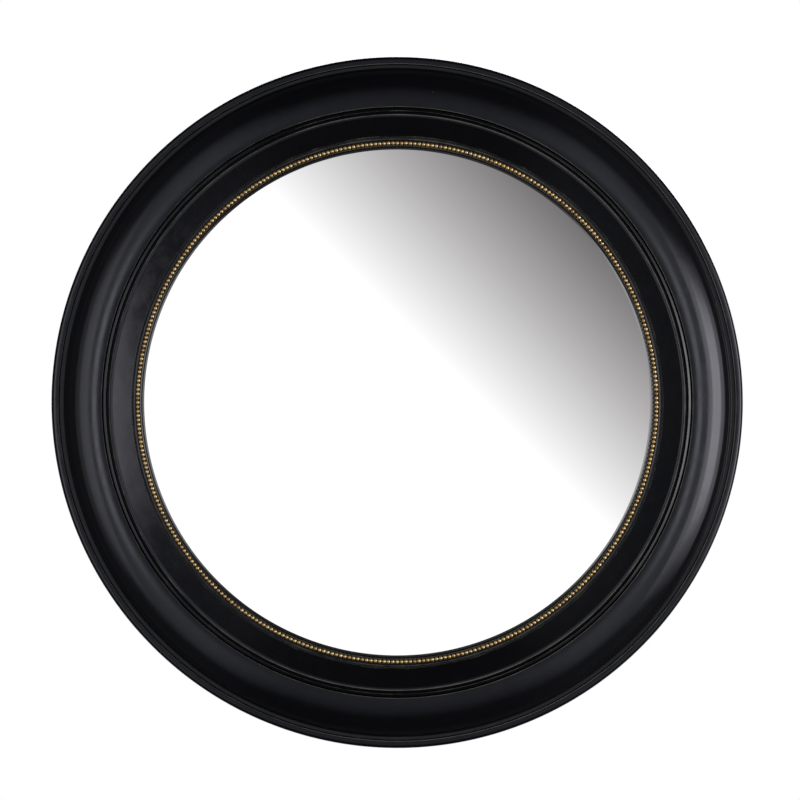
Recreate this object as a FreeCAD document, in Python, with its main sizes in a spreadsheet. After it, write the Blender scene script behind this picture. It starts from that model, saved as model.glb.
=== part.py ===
import FreeCAD, Part
import Sketcher
import math
import os
import re

# Round wall mirror: two turned black mouldings, a row of gold beads, flat glass and the hardware behind.
# Every piece is drawn lying on its back or face down, then stood up: the front faces -Y, the wall is y = 0.

# Driving dimensions, in millimetres, degrees and counts
SIZES = {
    # Widths across the front, from the visible glass outwards
    "sight_radius": 293.3,
    "lip_width": 4.0,
    "channel_width": 9.8,
    "band_width": 25.8,
    "groove_width": 9.4,
    "bombe_width": 45.5,
    "quirk_width": 3.8,
    "rim_width": 8.4,
    # Heights of the outer moulding above the wall
    "rim_side_height": 8.5,
    "rim_height": 14.5,
    "quirk_floor_height": 12.8,
    # Heights of the front mouldings above the glass
    "lip_nose_height": 2.5,
    "lip_height": 6.0,
    "channel_floor_height": 4.5,
    "band_inner_height": 8.0,
    "band_outer_height": 20.2,
    "astragal_foot_height": 18.0,
    "astragal_height": 19.5,
    "crown_height": 23.5,
    # Shapes of the front mouldings
    "rim_flat_width": 3.8,
    "rim_facets": 2,
    "bombe_facets": 6,
    "arris_width": 2.1,
    "lip_crown_width": 2.4,
    # Seats and joints of the mouldings
    "bore_taper": 1.8,
    "slip_fit_gap": 0.2,
    "rebate_width": 10.4,
    "recess_clearance": 3.0,
    # Bead row
    "bead_diameter": 4.9,
    "bead_height": 3.4,
    "bead_pitch": 5.07,
    "bead_side_gap": 0.05,
    "bead_sides": 5,
    # Glass and board
    "glass_thickness": 4.0,
    "board_thickness": 5.0,
    "recess_depth": 8.0,
    "glass_edge_gap": 2.0,
    "board_edge_gap": 1.0,
    # Screws
    "screw_sides": 6,
    "screw_fit_gap": 0.05,
    "pilot_tip_gap": 1.0,
    # Turn buttons
    "button_count": 6,
    "button_setback": 11.6,
    "button_bite": 12.0,
    "button_tail": 6.5,
    "button_width": 12.0,
    "button_corner_cut": 3.0,
    "button_thickness": 1.5,
    "button_play": 0.1,
    "button_screw_radius": 1.5,
    "button_screw_depth": 7.0,
    "button_head_radius": 3.4,
    "button_head_height": 2.2,
    # Hanger straps and rings
    "hanger_angle": 35.5,
    "hanger_setback": 27.6,
    "strap_width": 16.0,
    "strap_length": 32.0,
    "strap_thickness": 1.2,
    "strap_corner_cut": 4.0,
    "strap_curl_angle": 285.0,
    "strap_screw_inset": 7.0,
    "strap_screw_spacing": 13.0,
    "strap_screw_radius": 1.6,
    "strap_screw_depth": 7.0,
    "strap_head_radius": 3.3,
    "strap_head_height": 1.9,
    "wire_radius": 1.5,
    "eye_clearance": 0.06,
    "ring_side_gap": 1.0,
    "ring_top_width": 14.0,
    "ring_length": 25.0,
    "ring_rest_gap": 0.3,
}

doc = FreeCAD.newDocument("round_mirror")
sheet = doc.addObject("Spreadsheet::Sheet", "sizes")
for row, (alias, size) in enumerate(SIZES.items(), start=1):
    sheet.set(f"A{row}", alias)
    sheet.set(f"B{row}", str(size))
    sheet.setAlias(f"B{row}", alias)
doc.recompute()

# Radii across the front, each worked out from the one inside it
CHANNEL_INNER = "(sight_radius + lip_width)"
CHANNEL_OUTER = f"({CHANNEL_INNER} + channel_width)"
BAND_ARRIS = f"({CHANNEL_OUTER} + band_width)"
CROWN = f"({BAND_ARRIS} + groove_width)"
BOMBE_FOOT = f"({CROWN} + bombe_width)"
RIM_ARRIS = f"({BOMBE_FOOT} + quirk_width)"
FRAME_EDGE = f"({RIM_ARRIS} + rim_width)"
BORE = f"({CROWN} - bore_taper)"
SLIP_EDGE = f"({BORE} - slip_fit_gap)"
REBATE = "(sight_radius + rebate_width)"

# Heights of the glass and board that are closed in behind the lip
GLASS_BACK = "(recess_depth + board_thickness)"
GLASS_FRONT = f"({GLASS_BACK} + glass_thickness)"

# Hardware on the back
BUTTON_CIRCLE = f"({REBATE} + button_setback)"
BUTTON_REACH = "(button_setback + button_bite)"
HANGER_CIRCLE = f"({REBATE} + hanger_setback)"
RECESS_EDGE = f"({HANGER_CIRCLE} + ring_length + recess_clearance)"
EYE_BORE = "(wire_radius + eye_clearance)"
EYE_RADIUS = f"({EYE_BORE} + strap_thickness)"
RING_LEAN = f"asin(({EYE_RADIUS} - wire_radius - ring_rest_gap) / ring_length)"

# Two ways of standing a piece up: with its own Z turned to the front, or to the wall
FACING_FRONT = FreeCAD.Rotation(FreeCAD.Vector(1, 0, 0), 90)
FACING_WALL = FreeCAD.Rotation(FreeCAD.Vector(0, 1, 1), 180)


def bound(formula):
    """Point each size name in a formula at its cell of the sheet."""
    return re.sub(r"[a-z_]+", lambda word: f"sizes.{word[0]}" if word[0] in SIZES else word[0], formula)


def value(formula):
    """Work a formula out as a plain number."""
    answer = sheet.evalExpression(bound(formula))
    return float(getattr(answer, "Value", answer))


def new_body(label):
    body = doc.addObject("PartDesign::Body", label)
    body.AllowCompound = True
    return body


def new_sketch(body, name, role):
    """Start a sketch on one of the body's own origin planes."""
    sketch = body.newObject("Sketcher::SketchObject", name)
    plane = next(feature for feature in body.Origin.OriginFeatures if feature.Role == role)
    sketch.AttachmentSupport = [(plane, "")]
    sketch.MapMode = "FlatFace"
    return sketch


def hold(sketch, kind, geometry, point, formula):
    """Dimension a point from the sketch's origin, or put it on an axis where the formula is 0."""
    if formula == "0":
        axis = -2 if kind == "DistanceX" else -1
        sketch.addConstraint(Sketcher.Constraint("PointOnObject", geometry, point, axis))
        return
    index = sketch.addConstraint(Sketcher.Constraint(kind, -1, 1, geometry, point, value(formula)))
    sketch.setExpression(f"Constraints[{index}]", bound(formula))


def add_arc(sketch, start, end, swell):
    """Add an arc that bows right of the way from start to end, or left where swell is negative."""
    chord = end - start
    right = FreeCAD.Vector(chord.y, -chord.x, 0).normalize()
    radius = chord.Length ** 2 / (8 * abs(swell)) + abs(swell) / 2
    centre = (start + end) * 0.5 + right * (swell - math.copysign(radius, swell))
    first, last = (start, end) if swell > 0 else (end, start)
    first_angle = math.atan2(first.y - centre.y, first.x - centre.x)
    last_angle = math.atan2(last.y - centre.y, last.x - centre.x)
    circle = Part.Circle(centre, FreeCAD.Vector(0, 0, 1), radius)
    return sketch.addGeometry(Part.ArcOfCircle(circle, first_angle, last_angle))


def draw_outline(sketch, corners):
    """Close an outline through (across, up) corners; a third entry bows the edge that follows."""
    points = [FreeCAD.Vector(value(corner[0]), value(corner[1]), 0) for corner in corners]
    starts = []
    ends = []
    for index, corner in enumerate(corners):
        following = (index + 1) % len(corners)
        if len(corner) == 2:
            edge = sketch.addGeometry(Part.LineSegment(points[index], points[following]))
            starts.append((edge, 1))
            ends.append((edge, 2))
            continue
        swell = value(corner[2])
        edge = add_arc(sketch, points[index], points[following], swell)
        starts.append((edge, 1 if swell > 0 else 2))
        ends.append((edge, 2 if swell > 0 else 1))
        across = f"({corners[following][0]} - {corner[0]})"
        up = f"({corners[following][1]} - {corner[1]})"
        radius = f"({across}^2 + {up}^2) / (8 * abs({corner[2]})) + abs({corner[2]}) / 2"
        index_of_radius = sketch.addConstraint(Sketcher.Constraint("Radius", edge, value(radius)))
        sketch.setExpression(f"Constraints[{index_of_radius}]", bound(radius))
    for index, corner in enumerate(corners):
        edge, point = starts[index]
        sketch.addConstraint(Sketcher.Constraint("Coincident", *ends[index - 1], edge, point))
        hold(sketch, "DistanceX", edge, point, corner[0])
        hold(sketch, "DistanceY", edge, point, corner[1])


def ellipse_corner(across, up, width, rise, angle):
    """Give the corner at an angle round an ellipse with its centre at (across, up)."""
    return f"({across} + {width} * cos({angle}))", f"({up} + {rise} * sin({angle}))"


def quarter_round(across, up, width, rise, facets):
    """Give the corners of a quarter ellipse, from its outer foot to its crown."""
    return [ellipse_corner(across, up, width, rise, 90.0 * step / facets) for step in range(facets + 1)]


def draw_polygons(sketch, centres, radius):
    """Draw one polygon of a screw's sides and the same radius round each (across, up) centre."""
    sides = int(sheet.screw_sides)
    for across, up in centres:
        angles = [360.0 * side / sides for side in range(sides)]
        draw_outline(sketch, [ellipse_corner(across, up, radius, radius, angle) for angle in angles])


def draw_circles(sketch, centres, radius):
    """Draw one circle of the same radius at each (across, up) centre."""
    for across, up in centres:
        middle = FreeCAD.Vector(value(across), value(up), 0)
        circle = Part.Circle(middle, FreeCAD.Vector(0, 0, 1), value(radius))
        edge = sketch.addGeometry(circle)
        index = sketch.addConstraint(Sketcher.Constraint("Radius", edge, value(radius)))
        sketch.setExpression(f"Constraints[{index}]", bound(radius))
        hold(sketch, "DistanceX", edge, 3, across)
        hold(sketch, "DistanceY", edge, 3, up)


def raise_sketch(sketch, height):
    """Lift a sketch off its plane."""
    sketch.setExpression("AttachmentOffset.Base.z", bound(height))


def extrude(body, kind, sketch, length, backwards=False):
    """Pad or pocket a sketch by a length."""
    feature = body.newObject(f"PartDesign::{kind}", f"{sketch.Name}_{kind.lower()}")
    feature.Profile = sketch
    feature.Reversed = backwards
    feature.setExpression("Length", bound(length))
    doc.recompute()
    return feature


def turn(body, sketch):
    """Turn a section right round the vertical axis of its sketch."""
    feature = body.newObject("PartDesign::Revolution", f"{sketch.Name}_turned")
    feature.Profile = sketch
    feature.ReferenceAxis = (sketch, ["V_Axis"])
    feature.Angle = 360
    doc.recompute()


def place(piece, rotation, across="0", depth="0", up="0"):
    """Stand a piece up at its place; depth is measured forwards from the wall."""
    piece.Placement = FreeCAD.Placement(FreeCAD.Vector(0, 0, 0), rotation)
    piece.setExpression("Placement.Base.x", bound(across))
    piece.setExpression("Placement.Base.y", bound(f"-({depth})"))
    piece.setExpression("Placement.Base.z", bound(up))


def round_the_circle(radius, count):
    """Give evenly spaced (across, up, angle) spots on a circle."""
    angles = [360.0 * step / count for step in range(count)]
    return [(f"{radius} * cos({angle})", f"{radius} * sin({angle})", angle) for angle in angles]


button_spots = round_the_circle(BUTTON_CIRCLE, int(sheet.button_count))
button_centres = [(across, up) for across, up, angle in button_spots]

# The eyes of the left and right hanger, and the screws below them
HANGER_ACROSS = (f"-{HANGER_CIRCLE} * cos(hanger_angle)", f"{HANGER_CIRCLE} * cos(hanger_angle)")
HANGER_UP = f"{HANGER_CIRCLE} * sin(hanger_angle)"
LOW_SCREW = "(strap_length - strap_screw_inset)"
STRAP_SCREW_DROPS = (LOW_SCREW, f"({LOW_SCREW} - strap_screw_spacing)")
strap_screw_centres = [
    (across, f"{HANGER_UP} - {drop}") for across in HANGER_ACROSS for drop in STRAP_SCREW_DROPS
]


def make_outer_moulding():
    """Turned ring: wall land, rim, quirk, swelling band, bore, ledge, rebate wall and rear recess."""
    body = new_body("outer_moulding")
    section = new_sketch(body, "outer_section", "XZ_Plane")
    rim_rise = "(rim_height - rim_side_height)"
    rim_shoulder = f"({RIM_ARRIS} + rim_flat_width)"
    rim_turn = "(rim_width - rim_flat_width)"
    bombe_rise = f"({GLASS_FRONT} + crown_height - quirk_floor_height)"
    draw_outline(section, [
        (RECESS_EDGE, "0"),
        (FRAME_EDGE, "0"),
        *quarter_round(rim_shoulder, "rim_side_height", rim_turn, rim_rise, int(sheet.rim_facets)),
        (RIM_ARRIS, "rim_height"),
        *quarter_round(CROWN, "quirk_floor_height", "bombe_width", bombe_rise, int(sheet.bombe_facets)),
        (BORE, GLASS_FRONT),
        (REBATE, GLASS_FRONT),
        (REBATE, "recess_depth"),
        (RECESS_EDGE, "recess_depth"),
    ])
    turn(body, section)
    drill_pilots(body, "button_pilots", button_centres, "button_screw_radius", "button_screw_depth")
    drill_pilots(body, "strap_pilots", strap_screw_centres, "strap_screw_radius", "strap_screw_depth")
    place(body, FACING_FRONT)


def drill_pilots(body, name, centres, screw_radius, depth):
    """Drill a pilot hole for each screw, forwards from the recess face."""
    pilots = new_sketch(body, name, "XY_Plane")
    draw_polygons(pilots, centres, f"({screw_radius} + screw_fit_gap)")
    extrude(body, "Pocket", pilots, f"recess_depth + {depth} + pilot_tip_gap", backwards=True)


def make_inner_moulding():
    """Turned slip ring, glued on the ledge: astragal, sloping band, bead channel and lip."""
    body = new_body("inner_moulding")
    section = new_sketch(body, "inner_section", "XZ_Plane")
    astragal_inner = f"({BAND_ARRIS} + arris_width)"
    astragal_foot = f"({GLASS_FRONT} + astragal_foot_height)"
    astragal_top = f"({GLASS_FRONT} + astragal_height)"
    channel_floor = f"({GLASS_FRONT} + channel_floor_height)"
    draw_outline(section, [
        ("sight_radius", GLASS_FRONT),
        (SLIP_EDGE, GLASS_FRONT),
        (SLIP_EDGE, astragal_foot),
        (f"(({SLIP_EDGE} + {astragal_inner}) / 2)", astragal_top),
        (astragal_inner, astragal_foot),
        (BAND_ARRIS, f"({GLASS_FRONT} + band_outer_height)"),
        (CHANNEL_OUTER, f"({GLASS_FRONT} + band_inner_height)"),
        (CHANNEL_OUTER, channel_floor),
        (CHANNEL_INNER, channel_floor),
        ("(sight_radius + lip_crown_width)", f"({GLASS_FRONT} + lip_height)"),
        ("sight_radius", f"({GLASS_FRONT} + lip_nose_height)"),
    ])
    turn(body, section)
    place(body, FACING_FRONT)


def make_bead_trim():
    """Row of gold beads, evenly spaced on the floor of the channel, each a dome of few flat sides."""
    radius = value("bead_diameter / 2")
    circle = value(f"{CHANNEL_INNER} + bead_side_gap + bead_diameter / 2")
    floor = value(f"{GLASS_FRONT} + channel_floor_height")
    sides = int(sheet.bead_sides)
    angles = [2 * math.pi * side / sides for side in range(sides)]
    middle = FreeCAD.Vector(circle, 0, floor)
    foot = [middle + FreeCAD.Vector(math.cos(angle), math.sin(angle), 0) * radius for angle in angles]
    crown = middle + FreeCAD.Vector(0, 0, value("bead_height"))
    outlines = [foot] + [[foot[side - 1], foot[side], crown] for side in range(sides)]
    faces = [Part.Face(Part.makePolygon(outline + outline[:1])) for outline in outlines]
    bead = Part.Solid(Part.Shell(faces))
    count = round(2 * math.pi * circle / value("bead_pitch"))
    centre = FreeCAD.Vector(0, 0, 0)
    axis = FreeCAD.Vector(0, 0, 1)
    trim = doc.addObject("Part::Feature", "bead_trim")
    beads = [bead.rotated(centre, axis, 360.0 * step / count) for step in range(count)]
    trim.Shape = Part.makeCompound(beads)
    trim.Placement = FreeCAD.Placement(centre, FACING_FRONT)


def make_disc(label, radius, thickness, back):
    """Plain round sheet standing in the rebate."""
    disc = doc.addObject("Part::Cylinder", label)
    disc.setExpression("Radius", bound(radius))
    disc.setExpression("Height", bound(thickness))
    place(disc, FACING_FRONT, depth=back)


def make_screws(label, centres, head_seat, head_radius, head_height, shank_radius, depth):
    """Group of screws, driven forwards from the recess face; head_seat is what lies under their heads."""
    body = new_body(label)
    shanks = new_sketch(body, f"{label}_shanks", "XY_Plane")
    draw_polygons(shanks, centres, shank_radius)
    raise_sketch(shanks, f"recess_depth - {head_seat}")
    extrude(body, "Pad", shanks, f"{head_seat} + {depth}")
    heads = new_sketch(body, f"{label}_heads", "XY_Plane")
    draw_polygons(heads, centres, head_radius)
    raise_sketch(heads, f"recess_depth - {head_seat} - {head_height}")
    extrude(body, "Pad", heads, head_height)
    place(body, FACING_FRONT)


def make_turn_button(number, across, up, angle):
    """Flat steel button on its pivot screw, with its tongue over the edge of the board."""
    body = new_body(f"turn_button_{number}")
    plate = new_sketch(body, f"button_plate_{number}", "XY_Plane")
    half = "(button_width / 2)"
    cut = f"({half} - button_corner_cut)"
    shoulder = f"({BUTTON_REACH} - button_corner_cut)"
    heel = "(button_tail - button_corner_cut)"
    draw_outline(plate, [
        (f"-{BUTTON_REACH}", f"-{cut}"),
        (f"-{shoulder}", f"-{half}"),
        (heel, f"-{half}"),
        ("button_tail", f"-{cut}"),
        ("button_tail", cut),
        (heel, half),
        (f"-{shoulder}", half),
        (f"-{BUTTON_REACH}", cut),
    ])
    draw_circles(plate, [("0", "0")], "(button_screw_radius + screw_fit_gap)")
    raise_sketch(plate, "button_play")
    extrude(body, "Pad", plate, "button_thickness")
    inwards = FreeCAD.Rotation(FreeCAD.Vector(0, 0, 1), 180.0 - angle)
    place(body, FACING_WALL * inwards, across, "recess_depth", up)


def make_hanger_straps():
    """Pair of hanger straps: plates with two screw holes and cut lower corners, rolled into eyes above."""
    body = new_body("hanger_straps")
    half_curl = "(1 - cos(strap_curl_angle / 2))"
    for across in HANGER_ACROSS:
        section = new_sketch(body, "strap_section", "YZ_Plane")
        draw_outline(section, [
            ("-strap_length", "0"),
            ("0", "0", f"{EYE_RADIUS} * {half_curl}"),
            (f"({EYE_RADIUS} * sin(strap_curl_angle))", f"({EYE_RADIUS} * (1 - cos(strap_curl_angle)))"),
            (f"({EYE_BORE} * sin(strap_curl_angle))",
             f"({EYE_RADIUS} - {EYE_BORE} * cos(strap_curl_angle))",
             f"-{EYE_BORE} * {half_curl}"),
            ("0", "strap_thickness"),
            ("-strap_length", "strap_thickness"),
        ])
        raise_sketch(section, f"{across} - strap_width / 2")
        extrude(body, "Pad", section, "strap_width")
    holes = new_sketch(body, "strap_holes", "XY_Plane")
    hole_centres = [(across, f"-{drop}") for across in HANGER_ACROSS for drop in STRAP_SCREW_DROPS]
    draw_polygons(holes, hole_centres, "(strap_screw_radius + screw_fit_gap)")
    for across in HANGER_ACROSS:
        for side in ("-", "+"):
            beyond = f"({across} {side} (strap_width / 2 + strap_corner_cut))"
            within = f"({across} {side} (strap_width / 2 - 2 * strap_corner_cut))"
            draw_outline(holes, [
                (beyond, "(2 * strap_corner_cut - strap_length)"),
                (beyond, "(-strap_length - strap_corner_cut)"),
                (within, "(-strap_length - strap_corner_cut)"),
            ])
    extrude(body, "Pocket", holes, "strap_thickness", backwards=True)
    place(body, FACING_WALL, depth="recess_depth", up=HANGER_UP)


def make_hanging_ring(label, across):
    """Wire ring with mitred corners, its straight bar in the eye, leaning back against the frame."""
    body = new_body(label)
    path = new_sketch(body, f"{label}_path", "XY_Plane")
    half_bar = "(strap_width / 2 + ring_side_gap + wire_radius)"
    draw_outline(path, [
        ("0", "0"),
        (half_bar, "0"),
        ("(ring_top_width / 2)", "ring_length"),
        ("(-ring_top_width / 2)", "ring_length"),
        (f"-{half_bar}", "0"),
    ])
    path.AttachmentOffset = FreeCAD.Placement(FreeCAD.Vector(0, 0, 0),
                                              FreeCAD.Rotation(FreeCAD.Vector(-1, 0, 0), 1))
    path.setExpression("AttachmentOffset.Rotation.Angle", bound(RING_LEAN))
    wire = new_sketch(body, f"{label}_wire", "YZ_Plane")
    draw_circles(wire, [("0", "0")], "wire_radius")
    doc.recompute()
    ring = body.newObject("PartDesign::AdditivePipe", f"{label}_pipe")
    ring.Profile = wire
    ring.Spine = (path, [f"Edge{number + 1}" for number in range(path.GeometryCount)])
    ring.Transition = "Right corner"
    doc.recompute()
    place(body, FACING_WALL, across, f"recess_depth - {EYE_RADIUS}", HANGER_UP)


def export_pieces():
    """Stop on any failed object, then write each piece to its own file."""
    doc.recompute()
    failed = [piece.Label for piece in doc.Objects if {"Invalid", "Error"} & set(piece.State)]
    kinds = ("PartDesign::Body", "Part::Feature", "Part::Cylinder")
    pieces = [piece for piece in doc.Objects if piece.TypeId in kinds]
    failed += [piece.Label for piece in pieces if piece.Shape.isNull() or not piece.Shape.isValid()]
    if failed:
        raise RuntimeError(f"failed: {sorted(set(failed))}")
    os.makedirs("parts", exist_ok=True)
    for piece in pieces:
        piece.Shape.exportStep(f"parts/{piece.Label}.step")
        print(piece.Label, len(piece.Shape.Solids), round(piece.Shape.Volume, 1))


make_outer_moulding()
make_inner_moulding()
make_bead_trim()
make_disc("mirror_glass", f"{REBATE} - glass_edge_gap", "glass_thickness", GLASS_BACK)
make_disc("backing_board", f"{REBATE} - board_edge_gap", "board_thickness", "recess_depth")
for number, (across, up, angle) in enumerate(button_spots, start=1):
    make_turn_button(number, across, up, angle)
make_screws("turn_button_screws", button_centres, "(button_thickness + 2 * button_play)",
            "button_head_radius", "button_head_height", "button_screw_radius", "button_screw_depth")
make_hanger_straps()
for label, across in zip(("left_hanging_ring", "right_hanging_ring"), HANGER_ACROSS):
    make_hanging_ring(label, across)
make_screws("strap_screws", strap_screw_centres, "strap_thickness",
            "strap_head_radius", "strap_head_height", "strap_screw_radius", "strap_screw_depth")
export_pieces()
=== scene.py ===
import math
import random

import bmesh
import bpy
from mathutils import Matrix, Vector


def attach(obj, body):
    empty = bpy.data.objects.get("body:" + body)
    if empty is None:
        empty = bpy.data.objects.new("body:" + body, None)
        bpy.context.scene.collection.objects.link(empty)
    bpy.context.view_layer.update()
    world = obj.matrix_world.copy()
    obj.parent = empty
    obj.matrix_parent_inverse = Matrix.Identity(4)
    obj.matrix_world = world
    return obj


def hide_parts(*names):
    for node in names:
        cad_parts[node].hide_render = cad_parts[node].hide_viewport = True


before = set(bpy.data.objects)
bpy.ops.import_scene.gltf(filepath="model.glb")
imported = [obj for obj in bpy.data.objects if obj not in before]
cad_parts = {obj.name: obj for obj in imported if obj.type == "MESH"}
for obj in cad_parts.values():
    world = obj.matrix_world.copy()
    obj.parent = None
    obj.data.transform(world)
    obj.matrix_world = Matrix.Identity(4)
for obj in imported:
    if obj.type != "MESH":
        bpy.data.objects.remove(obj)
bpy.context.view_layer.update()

MM = 0.001

# Radii across the frame, in millimetres
SIGHT = 293.3
LIP_FOOT = SIGHT - 1.0
LIP_CREST_START = SIGHT + 0.9
LIP_CREST_END = SIGHT + 1.3
LIP_VALLEY = SIGHT + 2.45
CHANNEL_INNER = SIGHT + 4.0
LIP_SECOND_CREST = CHANNEL_INNER - 0.45
LIP_SHOULDER = CHANNEL_INNER - 0.2
BEAD_CIRCLE = CHANNEL_INNER + 2.5
CHANNEL_OUTER = CHANNEL_INNER + 9.8
BED_EDGE = CHANNEL_OUTER - 4.7
BED_TOP = CHANNEL_OUTER - 4.6
BED_FOOT = CHANNEL_OUTER - 1.3
BAND_EDGE = CHANNEL_OUTER + 25.8
GROOVE = BAND_EDGE + 1.3
BEVEL_INNER = BAND_EDGE + 3.6
BEVEL_OUTER = BAND_EDGE + 6.9
BORE = BAND_EDGE + 7.6
SLIP_EDGE = BORE - 0.2
CROWN = BORE + 0.5
BOMBE_FOOT = CROWN + 45.4
RIM_EDGE = BORE + 51.1
QUIRK_EDGE = RIM_EDGE - 1.4
RIM_SHOULDER = RIM_EDGE + 4.4
FRAME_EDGE = RIM_EDGE + 8.28
BACK_ZONE_EDGE = FRAME_EDGE - 0.7
REBATE = SIGHT + 10.4
GLASS_EDGE = REBATE - 2.0
BOARD_EDGE = REBATE - 1.0
BUTTON_CIRCLE = REBATE + 11.6
HANGER_CIRCLE = REBATE + 27.6
RECESS_EDGE = HANGER_CIRCLE + 28.0

# Heights above the wall, in millimetres
RECESS = 8.0
BACK_ZONE_TOP = RECESS + 0.2
GLASS_BACK = 13.0
GLASS_FRONT = 17.0
SILVER_FOOT = GLASS_FRONT - 0.01
RIM_SIDE = 8.5
RIM_TOP = 14.5
QUIRK_FLOOR = 12.7
CHANNEL_FLOOR = 21.5
BED_HEIGHT = CHANNEL_FLOOR + 1.0
LIP_VALLEY_FLOOR = 21.95
LIP_SHOULDER_TOP = 22.4
LIP_TOP = 22.6
BAND_FOOT = 25.8
BAND_TOP = 37.2
GROOVE_FLOOR = 35.0
SEAM_FLOOR = 31.0
BEVEL_FOOT = 37.7
BEVEL_TOP = 39.0
CROWN_TOP = 40.5

# Hollow slope and its rolled edge, in millimetres and degrees
BAND_SAG = 0.08
ROLL_SIZE = (3.4, 1.4)
ROLL_INSET = 1.1
ROLL_END = 139

# Beads and their string, in millimetres; each level of a bead has its reach, height and painted shade
BEAD_COUNT = 372
BEAD_SIDES = 12
BEAD_TIP = 3.4
BEAD_LEVELS = [
    (2.0, 0.0, 1.0), (2.36, 0.55, 0.95), (2.45, 1.1, 0.8),
    (2.3, 1.8, 0.45), (1.85, 2.6, 0.05), (1.05, 3.2, 0.0),
]
STRING_HEIGHT = CHANNEL_FLOOR + 0.75
STRING_RADIUS = 0.7
STRING_SIDES = 6

# How far a bead strays from its place, in millimetres, and its share of the full width and height
BEAD_SEED = 11
BEAD_OFF_CIRCLE = 0.1
BEAD_OFF_PITCH = 0.05
BEAD_WIDTHS = (0.93, 1.0)
BEAD_HEIGHTS = (0.9, 1.0)

# Turn buttons, in millimetres
BUTTON_COUNT = 6
BUTTON_TONGUE = 23.6
BUTTON_TAIL = 6.5
BUTTON_HALF = 6.0
BUTTON_TONGUE_ROUND = 4.5
BUTTON_TAIL_ROUND = 5.6
BUTTON_HOLE = 1.55
BUTTON_BACK = 6.4
BUTTON_FRONT = 7.9
BUTTON_EASE = 0.35

# Hanger straps and rings, in millimetres, with the eye's turn in degrees
HANGER_ANGLE = math.radians(35.5)
HANGER_ACROSS = HANGER_CIRCLE * math.cos(HANGER_ANGLE)
HANGER_UP = HANGER_CIRCLE * math.sin(HANGER_ANGLE)
STRAP_HALF = 8.0
STRAP_LENGTH = 32.0
STRAP_THICKNESS = 1.2
STRAP_ROUND = 4.5
STRAP_HOLES = (-25.0, -12.0)
STRAP_HOLE = 1.65
STRAP_EASE = 0.25
EYE_HEIGHT = 5.24
EYE_TURN = 285.0
EYE_STEPS = 24
WIRE = 1.5
WIRE_SIDES = 16
RING_BAR = 10.5
RING_TOP = 7.0
RING_LENGTH = 25.0
RING_BAR_BEND = 1.9
RING_TOP_BEND = 3.0
RING_LEAN = math.asin(0.96 / RING_LENGTH)

# Pan-head screws, in millimetres
SCREW_SEED = 5
SCREW_TIP = 15.0
POINT_LENGTH = 3.0
POINT_RADIUS = 0.2
CROSS_OVER = 0.6

# Their heads, in shares of a head's radius or height, with the cross's scale at its floor
HEAD_FLAT = 0.4
HEAD_BRIM = 0.3
CROSS_REACH = 0.52
CROSS_WIDTH = 0.28
CROSS_DEPTH = 0.6
CROSS_TAPER = 0.7

# How finely round things are divided
RING_SEGMENTS = 420
SHEET_SEGMENTS = 300
SCREW_SEGMENTS = 32
HOLE_SEGMENTS = 24

# Rounded corners: degrees in a step of an arc, the least turn in radians, and the most of a side used
ARC_STEP = 12
LEAST_TURN = 0.02
MOST_OF_SIDE = 0.49

# Angles between faces, in degrees, over which an edge is eased or shaded sharp
EASED_ANGLE = 50
SHARP_ANGLE = 40


# Mesh helpers

def right_of(way):
    """Outward normal of an outline that keeps the solid on its left."""
    return Vector((way.y, -way.x))


def round_corner(before, here, after, rounding):
    """Points and normals of one corner of an outline, rounded by an arc."""
    way_in = (here - before).normalized()
    way_out = (after - here).normalized()
    turn = math.atan2(way_in.x * way_out.y - way_in.y * way_out.x, way_in.dot(way_out))
    if rounding == 0 or abs(turn) < LEAST_TURN:
        return [(here, right_of((way_in + way_out).normalized()))]
    room = MOST_OF_SIDE * min((here - before).length, (after - here).length)
    reach = min(rounding * math.tan(abs(turn) / 2), room)
    radius = math.copysign(reach / math.tan(abs(turn) / 2), turn)
    centre = here - way_in * reach - right_of(way_in) * radius
    steps = max(2, math.ceil(abs(turn) / math.radians(ARC_STEP)))
    turns = [Matrix.Rotation(-turn * step / steps, 2) for step in range(steps + 1)]
    normals = [right_of(way_in @ part) for part in turns]
    return [(centre + normal * radius, normal) for normal in normals]


def rounded(corners):
    """Points and normals of an outline of (across, up, rounding) corners."""
    spots = [Vector(corner[:2]) for corner in corners]
    made = []
    for index, corner in enumerate(corners):
        following = spots[(index + 1) % len(spots)]
        made += round_corner(spots[index - 1], spots[index], following, corner[2])
    return made


def ellipse_arc(centre, size, start, end, steps):
    """Plain corners along an ellipse between two angles in degrees."""
    angles = [math.radians(start + (end - start) * step / steps) for step in range(steps + 1)]
    return [(centre[0] + size[0] * math.cos(a), centre[1] + size[1] * math.sin(a), 0) for a in angles]


def hollow(start, end, sag, steps, skip):
    """Plain corners along a shallow hollow from start to end, leaving out the first few."""
    start = Vector(start)
    end = Vector(end)
    side = right_of((end - start).normalized())
    shares = [step / steps for step in range(skip, steps)]
    return [(*(start.lerp(end, t) - side * sag * 4 * t * (1 - t)), 0) for t in shares]


def circle_points(across, up, radius, count):
    """Points evenly round a circle."""
    angles = [2 * math.pi * step / count for step in range(count)]
    return [(across + radius * math.cos(a), up + radius * math.sin(a)) for a in angles]


def show(name, mesh, body, nodes):
    """Put a mesh in the scene as a piece that rides on a body and stands for CAD nodes."""
    piece = bpy.data.objects.new(name, mesh)
    bpy.context.scene.collection.objects.link(piece)
    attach(piece, body)
    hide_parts(*nodes)
    return piece


def plate_with_zinc(mesh):
    """Give a mesh its zinc, and shade it smooth but for its sharp edges."""
    mesh.materials.append(ZINC)
    mesh.polygons.foreach_set("use_smooth", [True] * len(mesh.polygons))
    mesh.set_sharp_from_angle(angle=math.radians(SHARP_ANGLE))
    mesh.update()


def first_material(spot):
    """Zone of a turned piece that has one material."""
    return 0


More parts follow.
